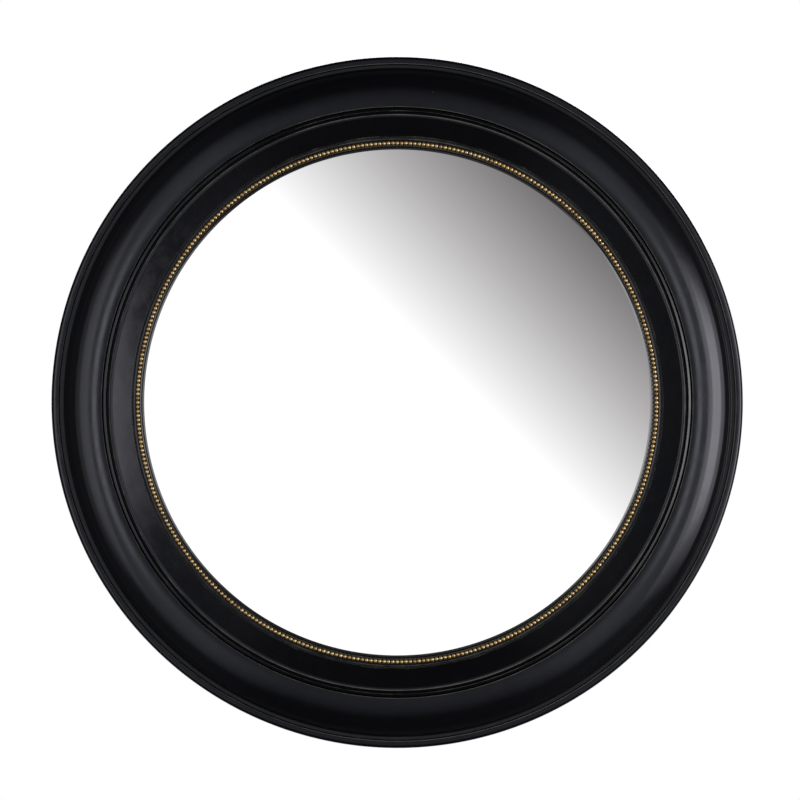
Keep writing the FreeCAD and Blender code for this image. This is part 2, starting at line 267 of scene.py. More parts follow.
def lathe(name, outline, segments, materials, zone=first_material, closed=True):
    """Turn an outline of points and normals round the Y axis; zone picks each strip's material.

    An outline that isn't closed starts and ends on flat round faces.
    """
    count = len(outline)
    strips = count if closed else count - 1
    verts = []
    normals = []
    for step in range(segments):
        angle = 2 * math.pi * step / segments
        c, s = math.cos(angle), math.sin(angle)
        for point, normal in outline:
            verts.append((point.x * c * MM, -point.y * MM, point.x * s * MM))
            normals.append((normal.x * c, -normal.y, normal.x * s))
    faces = []
    zones = []
    for step in range(segments):
        here = step * count
        there = (step + 1) % segments * count
        for index in range(strips):
            following = (index + 1) % count
            faces.append((here + index, there + index, there + following, here + following))
            zones.append(zone((outline[index][0] + outline[following][0]) / 2))
    if not closed:
        starts = [step * count for step in range(segments)]
        faces.append(starts[::-1])
        faces.append([start + count - 1 for start in starts])
        zones += [zone(outline[0][0]), zone(outline[-1][0])]
    mesh = bpy.data.meshes.new(name)
    mesh.from_pydata(verts, [], faces)
    for material in materials:
        mesh.materials.append(material)
    mesh.polygons.foreach_set("material_index", zones)
    mesh.polygons.foreach_set("use_smooth", [True] * len(faces))
    mesh.update()
    mesh.normals_split_custom_set_from_vertices(normals)
    return mesh


def start_plate(outline, holes, back, front):
    """Solid plate between two heights above the wall, from (across, up) loops in millimetres."""
    work = bmesh.new()
    edges = []
    for loop in [outline] + holes:
        ring = [work.verts.new((across * MM, -front * MM, up * MM)) for across, up in loop]
        edges += [work.edges.new((ring[index - 1], ring[index])) for index in range(len(ring))]
    bmesh.ops.triangle_fill(work, edges=edges, use_beauty=True)
    raised = bmesh.ops.extrude_face_region(work, geom=work.faces[:])
    lifted = [item for item in raised["geom"] if isinstance(item, bmesh.types.BMVert)]
    bmesh.ops.translate(work, verts=lifted, vec=(0, (front - back) * MM, 0))
    return work


def finish_plate(work, name, ease, matrix):
    """Ease a plate's edges, put it in its place and give its mesh."""
    bmesh.ops.recalc_face_normals(work, faces=work.faces[:])
    sharp = math.radians(EASED_ANGLE)
    corners = [edge for edge in work.edges if edge.calc_face_angle(0.0) > sharp]
    bmesh.ops.bevel(work, geom=corners, offset=ease * MM, segments=2, profile=0.5, affect="EDGES")
    work.transform(matrix)
    mesh = bpy.data.meshes.new(name)
    work.to_mesh(mesh)
    work.free()
    plate_with_zinc(mesh)
    return mesh


def cut(mesh, cutter):
    """Cut one mesh out of another and give the mesh that is left."""
    blank = bpy.data.objects.new("blank", mesh)
    tool = bpy.data.objects.new("tool", cutter)
    for thing in (blank, tool):
        bpy.context.scene.collection.objects.link(thing)
    modifier = blank.modifiers.new("recess", "BOOLEAN")
    modifier.operation = "DIFFERENCE"
    modifier.solver = "EXACT"
    modifier.object = tool
    depsgraph = bpy.context.evaluated_depsgraph_get()
    left = bpy.data.meshes.new_from_object(blank.evaluated_get(depsgraph))
    for thing in (blank, tool):
        bpy.data.objects.remove(thing)
    return left


# Node helpers

def add(tree, kind, inputs=None, **settings):
    """Add a shader node; inputs are values or the outputs that feed them."""
    made = tree.nodes.new(kind)
    for key, setting in settings.items():
        setattr(made, key, setting)
    for key, source in (inputs or {}).items():
        if isinstance(source, bpy.types.NodeSocket):
            tree.links.new(source, made.inputs[key])
        else:
            made.inputs[key].default_value = source
    return made


def sums(tree, operation, first, second=0.0):
    """Do one step of arithmetic."""
    return add(tree, "ShaderNodeMath", {0: first, 1: second}, operation=operation).outputs[0]


def spread(tree, value, low, high, to_low=0.0, to_high=1.0, smooth=True):
    """Carry a value from one range to another."""
    kind = "SMOOTHSTEP" if smooth else "LINEAR"
    inputs = {"Value": value, "From Min": low, "From Max": high, "To Min": to_low, "To Max": to_high}
    return add(tree, "ShaderNodeMapRange", inputs, interpolation_type=kind).outputs["Result"]


def choose(tree, share, first, second):
    """Mix two values: the first where share is 0, the second where it is 1."""
    return spread(tree, share, 0.0, 1.0, first, second, smooth=False)


def distance(tree, place, spot):
    """Distance from a place to a spot, both in metres."""
    return add(tree, "ShaderNodeVectorMath", {0: place, 1: spot}, operation="DISTANCE").outputs["Value"]


def noise(tree, place, scale, detail=4.0, roughness=0.55):
    """Noise from 0 to 1."""
    inputs = {"Vector": place, "Scale": scale, "Detail": detail, "Roughness": roughness}
    return add(tree, "ShaderNodeTexNoise", inputs).outputs["Fac"]


def tint(tree, share, first, second):
    """Mix two colours: the first where share is 0, the second where it is 1."""
    made = add(tree, "ShaderNodeMix", data_type="RGBA")
    for socket, source in ((made.inputs[0], share), (made.inputs[6], first), (made.inputs[7], second)):
        if isinstance(source, bpy.types.NodeSocket):
            tree.links.new(source, socket)
        else:
            socket.default_value = source
    return made.outputs[2]


def bump(tree, height, strength, depth):
    """Normal of a surface with small heights, depth in metres."""
    inputs = {"Height": height, "Strength": strength, "Distance": depth}
    return add(tree, "ShaderNodeBump", inputs).outputs["Normal"]


def new_material(name):
    """Give a material, its tree, its shader and the piece's own coordinates."""
    material = bpy.data.materials.new(name)
    material.use_nodes = True
    tree = material.node_tree
    shader = tree.nodes["Principled BSDF"]
    place = add(tree, "ShaderNodeTexCoord").outputs["Object"]
    return material, tree, shader, place


def feed(tree, shader, **sockets):
    """Set or link the shader's inputs by name, with _ for a space."""
    for key, source in sockets.items():
        socket = shader.inputs[key.replace("_", " ")]
        if isinstance(source, bpy.types.NodeSocket):
            tree.links.new(source, socket)
        else:
            socket.default_value = source


# Materials

BLACK_DEEP = (0.004, 0.004, 0.0045, 1)
BLACK_PALE = (0.006, 0.006, 0.0065, 1)
OLIVE_GROUND_AND_HIGHLIGHT = (0.108, 0.103, 0.072, 1)
SPECK_GREY = (0.12, 0.115, 0.1, 1)
WASH_BLACK = (0.008, 0.008, 0.0085, 1)
WASH_BROWN = (0.09, 0.06, 0.036, 1)
GILT_PALE = (1.0, 0.75, 0.34, 1)
GILT_DEEP = (0.92, 0.61, 0.21, 1)
GILT_DULL = (0.36, 0.22, 0.12, 1)
GILT_SHADE = (0.02, 0.013, 0.008, 1)
SILVER_DEEP = (0.957, 0.949, 0.953, 1)
SILVER_PALE = (0.964, 0.956, 0.96, 1)
EDGE_DEEP = (0.12, 0.17, 0.15, 1)
EDGE_PALE = (0.2, 0.26, 0.23, 1)
BOARD_DEEP = (0.2, 0.115, 0.06, 1)
BOARD_WARM = (0.31, 0.19, 0.105, 1)
BOARD_FIBRE = (0.37, 0.245, 0.145, 1)
BOARD_FLECK = (0.09, 0.05, 0.028, 1)
ZINC_DEEP = (0.48, 0.47, 0.43, 1)
ZINC_PALE = (0.66, 0.66, 0.64, 1)

# Olive lines: edges abraded to the ground at the rim, crown, band's edge and band's foot, and painted
# highlight on the lip, bevel and bed beside the beads and partly on the band's edge: (radius, height),
# how far each reaches, how strong it is, and its share at the left of the mirror, kept lower as painted
# shade
WORN_AND_LIT_EDGES = [
    ((RIM_EDGE, RIM_TOP), 1.1, 1.0, 0.6),
    ((CROWN, CROWN_TOP), 1.4, 1.0, 0.6),
    ((BEVEL_INNER, BEVEL_TOP), 1.2, 0.7, 0.75),
    ((BAND_EDGE - 0.7, BAND_TOP), 1.7, 0.85, 0.75),
    ((CHANNEL_OUTER + 0.3, BAND_FOOT), 3.0, 0.55, 0.75),
    ((CHANNEL_INNER - 0.6, LIP_TOP), 1.5, 0.95, 0.75),
    ((CHANNEL_OUTER - 2.6, CHANNEL_FLOOR + 0.4), 2.2, 0.8, 0.75),
]


def wear_and_highlights(tree, section, lean):
    """How much olive shows, from 0 to 1, at a place in the section of the mouldings: abraded edges and
    painted highlight lines, weaker on the left as painted shade.
    """
    worn_or_lit = None
    for (reach, height), width, amount, left_shaded_share in WORN_AND_LIT_EDGES:
        gap = distance(tree, section, (reach * MM, -height * MM, 0.0))
        line = spread(tree, gap, 0.0, width * MM, amount, 0.0, smooth=False)
        # Painted light: each olive line is weaker towards the left side and full towards the right.
        line = sums(tree, "MULTIPLY", line, spread(tree, lean, -0.8, 0.2, left_shaded_share, 1.0))
        worn_or_lit = line if worn_or_lit is None else sums(tree, "MAXIMUM", worn_or_lit, line)
    return worn_or_lit


def lacquer():
    """Satin black lacquer, abraded to an olive ground along some edges and painted with olive highlight
    lines along others, weaker on the left as painted shade, with a few specks.
    """
    material, tree, shader, place = new_material("black_lacquer")
    axes = add(tree, "ShaderNodeSeparateXYZ", {0: place})
    across = sums(tree, "POWER", axes.outputs["X"], 2.0)
    up = sums(tree, "POWER", axes.outputs["Z"], 2.0)
    radius = sums(tree, "SQRT", sums(tree, "ADD", across, up))
    section = add(tree, "ShaderNodeCombineXYZ", {"X": radius, "Y": axes.outputs["Y"]}).outputs[0]
    # Olive on abraded edges and as painted highlight lines, stronger on the right as painted light.
    worn_or_lit = wear_and_highlights(tree, section, sums(tree, "DIVIDE", axes.outputs["X"], radius))
    patches = noise(tree, place, scale=38.0, detail=5.0, roughness=0.65)
    grit = noise(tree, place, scale=900.0, detail=3.0, roughness=0.7)
    patchy = sums(tree, "ADD", sums(tree, "MULTIPLY", patches, 0.9), sums(tree, "MULTIPLY", grit, 0.45))
    rubbed_or_lit = spread(tree, sums(tree, "ADD", worn_or_lit, patchy), 1.05, 1.42)
    rubbed_or_lit = sums(tree, "MULTIPLY", rubbed_or_lit, sums(tree, "GREATER_THAN", worn_or_lit, 0.001))
    cells = add(tree, "ShaderNodeTexVoronoi", {"Vector": place, "Scale": 46.0})
    rare = add(tree, "ShaderNodeSeparateColor", {0: cells.outputs["Color"]}).outputs[0]
    speck = sums(tree, "MULTIPLY", spread(tree, cells.outputs["Distance"], 0.02, 0.05, 1.0, 0.0),
                 sums(tree, "GREATER_THAN", rare, 0.9))
    clouds = noise(tree, place, scale=9.0, detail=3.0)
    # The olive stands for the abraded ground and, on the lit lines, for a painted highlight.
    colour = tint(tree, rubbed_or_lit, tint(tree, clouds, BLACK_DEEP, BLACK_PALE), OLIVE_GROUND_AND_HIGHLIGHT)
    colour = tint(tree, sums(tree, "MULTIPLY", speck, 0.35), colour, SPECK_GREY)
    rubs = noise(tree, place, scale=55.0, detail=6.0, roughness=0.7)
    scuffs = spread(tree, rubs, 0.35, 0.75, 0.12, 0.21)
    from_beads = distance(tree, section, (BEAD_CIRCLE * MM, -CHANNEL_FLOOR * MM, 0.0))
    channel = spread(tree, from_beads, 0.0026, 0.0032, 1.0, 0.0)
    roughness = sums(tree, "ADD", scuffs, sums(tree, "MULTIPLY", rubbed_or_lit, 0.2))
    roughness = sums(tree, "ADD", roughness, sums(tree, "MULTIPLY", channel, 0.5))
    ripples = noise(tree, place, scale=26.0, detail=2.0)
    grain = noise(tree, place, scale=1400.0, detail=2.0)
    waves = sums(tree, "ADD", ripples, sums(tree, "MULTIPLY", grain, 0.03))
    feed(tree, shader, Base_Color=colour, Roughness=roughness, Normal=bump(tree, waves, 0.25, 0.0006))
    return material


def bare_back():
    """Thin matt black wash over the wood's own brown, as on the back of a frame."""
    material, tree, shader, place = new_material("back_wash")
    fibres = noise(tree, place, scale=420.0, detail=6.0, roughness=0.7)
    cover = spread(tree, noise(tree, place, scale=14.0, detail=6.0, roughness=0.7), 0.42, 0.72)
    thin = sums(tree, "MULTIPLY", cover, spread(tree, fibres, 0.45, 0.7))
    colour = tint(tree, thin, WASH_BLACK, WASH_BROWN)
    roughness = spread(tree, fibres, 0.3, 0.8, 0.62, 0.85)
    feed(tree, shader, Base_Color=colour, Roughness=roughness, Normal=bump(tree, fibres, 0.4, 0.0003))
    return material


def gilt():
    """Gilt, uneven from bead to bead, with painted shade round the foot of each."""
    material, tree, shader, place = new_material("gilt")
    own = add(tree, "ShaderNodeNewGeometry").outputs["Random Per Island"]
    # Painted shade per point: full at each bead's foot, none at its tip.
    foot_shade = add(tree, "ShaderNodeAttribute", attribute_name="foot_shade").outputs["Fac"]
    blotches = noise(tree, place, scale=700.0, detail=4.0, roughness=0.7)
    dull = spread(tree, own, 0.72, 1.0)
    colour = tint(tree, own, GILT_PALE, GILT_DEEP)
    colour = tint(tree, sums(tree, "MULTIPLY", dull, 0.65), colour, GILT_DULL)
    # Painted shade: each bead's foot goes nearly black and less metallic, broken up by noise.
    foot = spread(tree, sums(tree, "ADD", foot_shade, sums(tree, "MULTIPLY", blotches, 0.5)), 0.55, 1.05)
    colour = tint(tree, foot, colour, GILT_SHADE)
    uneven = sums(tree, "ADD", blotches, sums(tree, "MULTIPLY", dull, 0.3))
    roughness = spread(tree, uneven, 0.3, 0.9, 0.3, 0.55)
    metal = choose(tree, foot, 0.85, 0.12)
    feed(tree, shader, Base_Color=colour, Metallic=metal, Roughness=roughness,
         Normal=bump(tree, blotches, 0.2, 0.0002))
    return material


def silvering():
    """Front of the mirror: clean silvering with the faintest haze."""
    material, tree, shader, place = new_material("silvering")
    haze = noise(tree, place, scale=6.0, detail=5.0, roughness=0.6)
    colour = tint(tree, haze, SILVER_DEEP, SILVER_PALE)
    feed(tree, shader, Base_Color=colour, Metallic=1.0, Roughness=0.0)
    return material


def glass_edge():
    """Ground edge and painted back of the glass."""
    material, tree, shader, place = new_material("glass_edge")
    grains = noise(tree, place, scale=800.0, detail=3.0)
    colour = tint(tree, grains, EDGE_DEEP, EDGE_PALE)
    feed(tree, shader, Base_Color=colour, Roughness=spread(tree, grains, 0.2, 0.8, 0.35, 0.6))
    return material


def fibreboard():
    """Brown hardboard with pressed fibres and darker flecks."""
    material, tree, shader, place = new_material("fibreboard")
    fibres = noise(tree, place, scale=260.0, detail=8.0, roughness=0.75)
    clouds = noise(tree, place, scale=7.0, detail=4.0)
    flecks = spread(tree, noise(tree, place, scale=520.0, detail=3.0, roughness=0.8), 0.62, 0.72)
    colour = tint(tree, clouds, BOARD_DEEP, BOARD_WARM)
    colour = tint(tree, spread(tree, fibres, 0.3, 0.7), colour, BOARD_FIBRE)
    colour = tint(tree, sums(tree, "MULTIPLY", flecks, 0.6), colour, BOARD_FLECK)
    roughness = spread(tree, fibres, 0.3, 0.75, 0.5, 0.8)
    feed(tree, shader, Base_Color=colour, Roughness=roughness, Normal=bump(tree, fibres, 0.35, 0.0003))
    return material


def zinc():
    """Zinc-plated steel with a faint spangle and fine scratches."""
    material, tree, shader, place = new_material("zinc_steel")
    spangle = noise(tree, place, scale=240.0, detail=3.0, roughness=0.6)
    stretch = {"Vector": place, "Scale": (90.0, 900.0, 2600.0)}
    stretched = add(tree, "ShaderNodeMapping", stretch).outputs[0]
    scratches = noise(tree, stretched, scale=1.0, detail=3.0, roughness=0.6)
    colour = tint(tree, spangle, ZINC_DEEP, ZINC_PALE)
    roughness = sums(tree, "ADD", spread(tree, spangle, 0.3, 0.7, 0.24, 0.36),
                     sums(tree, "MULTIPLY", scratches, 0.12))
    feed(tree, shader, Base_Color=colour, Metallic=1.0, Roughness=roughness,
         Normal=bump(tree, scratches, 0.12, 0.0001))
    return material


LACQUER = lacquer()
BACK = bare_back()
GILT = gilt()
SILVER = silvering()
EDGE = glass_edge()
BOARD = fibreboard()
ZINC = zinc()


# Mouldings, beads, glass and board

def behind_frame(spot):
    """Zone of the outer ring: 1 on its back, 0 elsewhere."""
    return int(spot.y <= BACK_ZONE_TOP and spot.x < BACK_ZONE_EDGE)


def make_outer_moulding():
    """Outer ring: flat-topped rim, quirk, swelling band, bore, rebate and rear recess."""
    rim_size = (FRAME_EDGE - RIM_SHOULDER, RIM_TOP - RIM_SIDE)
    bombe_size = (BOMBE_FOOT - CROWN, CROWN_TOP - QUIRK_FLOOR)
    corners = [
        (RECESS_EDGE, 0.0, 0.6), (FRAME_EDGE, 0.0, 0.8),
        *ellipse_arc((RIM_SHOULDER, RIM_SIDE), rim_size, start=0, end=88, steps=12),
        (RIM_EDGE, RIM_TOP, 0.3), (QUIRK_EDGE, QUIRK_FLOOR, 0.5), (BOMBE_FOOT + 0.2, QUIRK_FLOOR, 0.4),
        *ellipse_arc((CROWN, QUIRK_FLOOR), bombe_size, start=3, end=89, steps=44),
        (CROWN, CROWN_TOP, 0.5), (BORE, GLASS_FRONT, 0.0), (REBATE, GLASS_FRONT, 0.3),
        (REBATE, RECESS, 0.5), (RECESS_EDGE, RECESS, 0.5),
    ]
    outline = rounded(corners)
    mesh = lathe("outer_moulding_turned", outline, RING_SEGMENTS, [LACQUER, BACK], behind_frame)
    show("outer_moulding_turned", mesh, "frame", ["outer_moulding"])


def make_inner_moulding():
    """Slip ring: bevel, groove, hollow slope with a rolled edge, bead channel and two-crested lip."""
    roll_centre = (BAND_EDGE - ROLL_INSET, BAND_TOP - ROLL_SIZE[1])
    roll = ellipse_arc(roll_centre, ROLL_SIZE, start=90, end=ROLL_END, steps=9)
    corners = [
        (LIP_FOOT, GLASS_FRONT, 0.1), (SLIP_EDGE, GLASS_FRONT, 0.2), (SLIP_EDGE, SEAM_FLOOR, 0.1),
        (BEVEL_OUTER, BEVEL_FOOT, 0.3), (BEVEL_INNER, BEVEL_TOP, 0.3),
        (GROOVE, GROOVE_FLOOR, 0.2), (BAND_EDGE, BAND_TOP, 0.2), *roll,
        *hollow(roll[-1][:2], (CHANNEL_OUTER, BAND_FOOT), BAND_SAG, steps=14, skip=1),
        (CHANNEL_OUTER, BAND_FOOT, 0.25), (CHANNEL_OUTER, CHANNEL_FLOOR, 0.4),
        (BED_FOOT, CHANNEL_FLOOR, 0.4), (BED_TOP, BED_HEIGHT, 0.2), (BED_EDGE, CHANNEL_FLOOR, 0.1),
        (CHANNEL_INNER, CHANNEL_FLOOR, 0.2), (LIP_SHOULDER, LIP_SHOULDER_TOP, 0.15),
        (LIP_SECOND_CREST, LIP_TOP, 0.15), (LIP_VALLEY, LIP_VALLEY_FLOOR, 0.1),
        (LIP_CREST_END, LIP_TOP, 0.12), (LIP_CREST_START, LIP_TOP, 0.3),
    ]
    mesh = lathe("inner_moulding_turned", rounded(corners), RING_SEGMENTS, [LACQUER])
    show("inner_moulding_turned", mesh, "frame", ["inner_moulding"])


def glass_zone(spot):
    """Zone of the glass: 0 on its silvered front, 1 elsewhere."""
    return int(spot.y < SILVER_FOOT)


def round_sheet(name, radius, back, front, arris, materials, zone=first_material):
    """Mesh of a round sheet with eased edges."""
    corners = [(0.0, back, 0.0), (radius, back, arris), (radius, front, arris), (0.0, front, 0.0)]
    outline = rounded(corners)[1:-1]
    return lathe(name, outline, SHEET_SEGMENTS, materials, zone, closed=False)


def make_glass():
    """Mirror glass, silvered on its front; gives the piece."""
    mesh = round_sheet("mirror_sheet", GLASS_EDGE, GLASS_BACK, GLASS_FRONT, arris=0.6,
                       materials=[SILVER, EDGE], zone=glass_zone)
    return show("mirror_sheet", mesh, "frame", ["mirror_glass"])


def make_board():
    """Hardboard disc behind the glass."""
    mesh = round_sheet("backing_sheet", BOARD_EDGE, RECESS, GLASS_BACK, arris=0.4, materials=[BOARD])
    show("backing_sheet", mesh, "frame", ["backing_board"])


def ring_tube(radius, height, thickness, segments, sides):
    """Vertices and faces of a thin tube round the mirror's axis."""
    verts = []
    faces = []
    for step in range(segments):
        turn = 2 * math.pi * step / segments
        for side in range(sides):
            spin = 2 * math.pi * side / sides
            reach = radius + thickness * math.cos(spin)
            rise = height + thickness * math.sin(spin)
            verts.append((reach * math.cos(turn) * MM, -rise * MM, reach * math.sin(turn) * MM))
        here = step * sides
        there = (step + 1) % segments * sides
        for side in range(sides):
            following = (side + 1) % sides
            faces.append((here + side, there + side, there + following, here + following))
    return verts, faces


def bead_faces(first):
    """Faces of one bead whose vertices start at an index; its foot is open to the channel's floor."""
    faces = []
    for level in range(len(BEAD_LEVELS) - 1):
        low = first + level * BEAD_SIDES
        high = low + BEAD_SIDES
        for side in range(BEAD_SIDES):
            following = (side + 1) % BEAD_SIDES
            faces.append((low + side, low + following, high + following, high + side))
    last = first + (len(BEAD_LEVELS) - 1) * BEAD_SIDES
    tip = last + BEAD_SIDES
    faces += [(last + side, last + (side + 1) % BEAD_SIDES, tip) for side in range(BEAD_SIDES)]
    return faces


def make_beads():
    """Cast beads on their dark string, each a little different from the next."""
    chance = random.Random(BEAD_SEED)
    verts = []
    faces = []
    foot_shade = []
    for number in range(BEAD_COUNT):
        turn = 2 * math.pi * number / BEAD_COUNT
        radial = Vector((math.cos(turn), 0, math.sin(turn)))
        along = Vector((-math.sin(turn), 0, math.cos(turn)))
        off_circle = chance.uniform(-BEAD_OFF_CIRCLE, BEAD_OFF_CIRCLE)
        off_pitch = chance.uniform(-BEAD_OFF_PITCH, BEAD_OFF_PITCH)
        wide = chance.uniform(*BEAD_WIDTHS)
        tall = chance.uniform(*BEAD_HEIGHTS)
        centre = radial * (BEAD_CIRCLE + off_circle) + along * off_pitch
        faces += bead_faces(len(verts))
        # Each level of a bead carries its share of painted shade.
        for reach, height, level_shade in BEAD_LEVELS:
            for side in range(BEAD_SIDES):
                spin = 2 * math.pi * side / BEAD_SIDES
                flat = (radial * math.cos(spin) + along * math.sin(spin)) * reach * wide
                verts.append((centre + flat - Vector((0, CHANNEL_FLOOR + height * tall, 0))) * MM)
                foot_shade.append(level_shade)
        verts.append((centre - Vector((0, CHANNEL_FLOOR + BEAD_TIP * tall, 0))) * MM)
        foot_shade.append(0.0)
    zones = [0] * len(faces)
    string, string_faces = ring_tube(
        BEAD_CIRCLE, STRING_HEIGHT, STRING_RADIUS, segments=BEAD_COUNT, sides=STRING_SIDES)
    faces += [tuple(index + len(verts) for index in face) for face in string_faces]
    zones += [1] * len(string_faces)
    foot_shade += [1.0] * len(string)
    mesh = bpy.data.meshes.new("bead_string")
    mesh.from_pydata([tuple(vert) for vert in verts] + string, [], faces)
    mesh.attributes.new("foot_shade", "FLOAT", "POINT").data.foreach_set("value", foot_shade)
    mesh.materials.append(GILT)
    mesh.materials.append(BACK)
    mesh.polygons.foreach_set("material_index", zones)
    mesh.polygons.foreach_set("use_smooth", [True] * len(faces))
    show("bead_string", mesh, "frame", ["bead_trim"])


# Hardware behind

def make_turn_button(number):
    """Stamped steel button with rounded ends, its tongue over the board."""
    corners = [
        (-BUTTON_TONGUE, -BUTTON_HALF, BUTTON_TONGUE_ROUND),
        (BUTTON_TAIL, -BUTTON_HALF, BUTTON_TAIL_ROUND),
        (BUTTON_TAIL, BUTTON_HALF, BUTTON_TAIL_ROUND),
        (-BUTTON_TONGUE, BUTTON_HALF, BUTTON_TONGUE_ROUND),
    ]
    outline = [tuple(point) for point, normal in rounded(corners)]
    hole = circle_points(0.0, 0.0, BUTTON_HOLE, HOLE_SEGMENTS)
    work = start_plate(outline, [hole], BUTTON_BACK, BUTTON_FRONT)
    angle = 2 * math.pi * number / BUTTON_COUNT
    spot = Vector((math.cos(angle), 0, math.sin(angle))) * BUTTON_CIRCLE * MM
    place = Matrix.Translation(spot) @ Matrix.Rotation(-angle, 4, "Y")
    name = f"turn_button_{number + 1}"
    mesh = finish_plate(work, f"{name}_plate", BUTTON_EASE, place)
    show(f"{name}_plate", mesh, name, [name])


def make_straps():
    """Pair of hanger straps with round holes and rounded feet, their upper ends rolled into eyes."""
    corners = [
        (-STRAP_HALF, -STRAP_LENGTH, STRAP_ROUND), (STRAP_HALF, -STRAP_LENGTH, STRAP_ROUND),
        (STRAP_HALF, 0.0, 0.0), (-STRAP_HALF, 0.0, 0.0),
    ]
    outline = [tuple(point) for point, normal in rounded(corners)]
    holes = [circle_points(0.0, up, STRAP_HOLE, HOLE_SEGMENTS) for up in STRAP_HOLES]
    roll = Matrix.Rotation(-math.radians(EYE_TURN) / EYE_STEPS, 3, "X")
    both = bmesh.new()
    for side in (-1, 1):
        work = start_plate(outline, holes, RECESS - STRAP_THICKNESS, RECESS)
        end = [face for face in work.faces if all(abs(vert.co.z) < 1e-6 for vert in face.verts)]
        for step in range(EYE_STEPS):
            rolled = bmesh.ops.extrude_face_region(work, geom=end)["geom"]
            end = [item for item in rolled if isinstance(item, bmesh.types.BMFace)]
            moved = [item for item in rolled if isinstance(item, bmesh.types.BMVert)]
            bmesh.ops.rotate(work, cent=(0, -EYE_HEIGHT * MM, 0), matrix=roll, verts=moved)
        place = Matrix.Translation(Vector((side * HANGER_ACROSS, 0, HANGER_UP)) * MM)
        both.from_mesh(finish_plate(work, "strap", STRAP_EASE, place))
    mesh = bpy.data.meshes.new("rolled_straps")
    both.to_mesh(mesh)
    both.free()
    plate_with_zinc(mesh)
    show("rolled_straps", mesh, "frame", ["hanger_straps"])


def make_ring(name, side):
    """Bent wire ring with rounded corners, leaning back against the frame."""
    corners = [
        (-RING_BAR, 0.0, RING_BAR_BEND), (RING_BAR, 0.0, RING_BAR_BEND),
        (RING_TOP, RING_LENGTH, RING_TOP_BEND), (-RING_TOP, RING_LENGTH, RING_TOP_BEND),
    ]
    path = rounded(corners)
    verts = []
    faces = []
    for index, (point, normal) in enumerate(path):
        for step in range(WIRE_SIDES):
            spin = 2 * math.pi * step / WIRE_SIDES
            flat = point + normal * WIRE * math.cos(spin)
            verts.append((flat.x * MM, WIRE * math.sin(spin) * MM, flat.y * MM))
        here = index * WIRE_SIDES
        there = (index + 1) % len(path) * WIRE_SIDES
        for step in range(WIRE_SIDES):
            following = (step + 1) % WIRE_SIDES
            faces.append((here + step, here + following, there + following, there + step))
    mesh = bpy.data.meshes.new(f"{name}_wire")
    mesh.from_pydata(verts, [], faces)
    spot = Vector((side * HANGER_ACROSS, -EYE_HEIGHT, HANGER_UP)) * MM
    mesh.transform(Matrix.Translation(spot) @ Matrix.Rotation(RING_LEAN, 4, "X"))
    plate_with_zinc(mesh)
    show(f"{name}_wire", mesh, name, [name])


def cross_cutter(reach, width, top, depth):
    """Tapered cross that sinks into a screw head from the wall's side."""
    half = width / 2
    arm = [(half, half), (half, reach), (-half, reach)]
    loop = []
    for quarter in range(4):
        turn = Matrix.Rotation(quarter * math.pi / 2, 2)
        loop += [turn @ Vector(corner) for corner in arm]
    levels = ((1.0, top - CROSS_OVER), (1.0, top), (CROSS_TAPER, top + depth))
    verts = [(spot.x * scale * MM, -height * MM, spot.y * scale * MM)
             for scale, height in levels for spot in loop]
    count = len(loop)
    faces = [list(range(count)), list(range(2 * count, 3 * count))[::-1]]
    for low in (0, count):
        high = low + count
        for index in range(count):
            following = (index + 1) % count
            faces.append((low + following, low + index, high + index, high + following))
    mesh = bpy.data.meshes.new("cross")
    mesh.from_pydata(verts, [], faces)
    return mesh


def make_screws(name, node, spots, head_radius, head_height, seat, shank_radius):
    """Pan-head screws with a cross recess, each turned its own way."""
    top = seat - head_height
    brim = seat - HEAD_BRIM * head_height
    dome_size = ((1 - HEAD_FLAT) * head_radius, top - brim)
    corners = [
        (0.0, top, 0.0),
        *ellipse_arc((HEAD_FLAT * head_radius, brim), dome_size, start=90, end=0, steps=8),
        (head_radius, seat, 0.12), (shank_radius, seat, 0.0),
        (shank_radius, SCREW_TIP - POINT_LENGTH, 0.0), (POINT_RADIUS, SCREW_TIP, 0.0),
    ]
    blank = lathe("blank", rounded(corners)[1:], SCREW_SEGMENTS, [ZINC], closed=False)
    cross = cross_cutter(
        CROSS_REACH * head_radius, CROSS_WIDTH * head_radius, top, CROSS_DEPTH * head_height)
    screw = cut(blank, cross)
    chance = random.Random(SCREW_SEED)
    group = bmesh.new()
    for across, up in spots:
        single = screw.copy()
        turn = Matrix.Rotation(chance.uniform(0, math.pi / 2), 4, "Y")
        single.transform(Matrix.Translation(Vector((across, 0, up)) * MM) @ turn)
        group.from_mesh(single)
    mesh = bpy.data.meshes.new(name)
    group.to_mesh(mesh)
    group.free()
    mesh.polygons.foreach_set("material_index", [0] * len(mesh.polygons))
    plate_with_zinc(mesh)
    show(name, mesh, "frame", [node])


make_outer_moulding()
make_inner_moulding()
make_beads()
mirror = make_glass()
make_board()
for number in range(BUTTON_COUNT):
    make_turn_button(number)
make_straps()
make_ring("left_hanging_ring", -1)
make_ring("right_hanging_ring", 1)
button_spots = circle_points(0.0, 0.0, BUTTON_CIRCLE, BUTTON_COUNT)
make_screws("button_pan_screws", "turn_button_screws", button_spots,
            head_radius=3.4, head_height=2.2, seat=6.3, shank_radius=1.5)
strap_spots = [(side * HANGER_ACROSS, HANGER_UP + up) for side in (-1, 1) for up in STRAP_HOLES]
make_screws("strap_pan_screws", "strap_screws", strap_spots,
            head_radius=3.3, head_height=1.9, seat=6.8, shank_radius=1.6)


# Studio: white to the camera, dim walls, softboxes on both sides and behind, a graded card on the axis

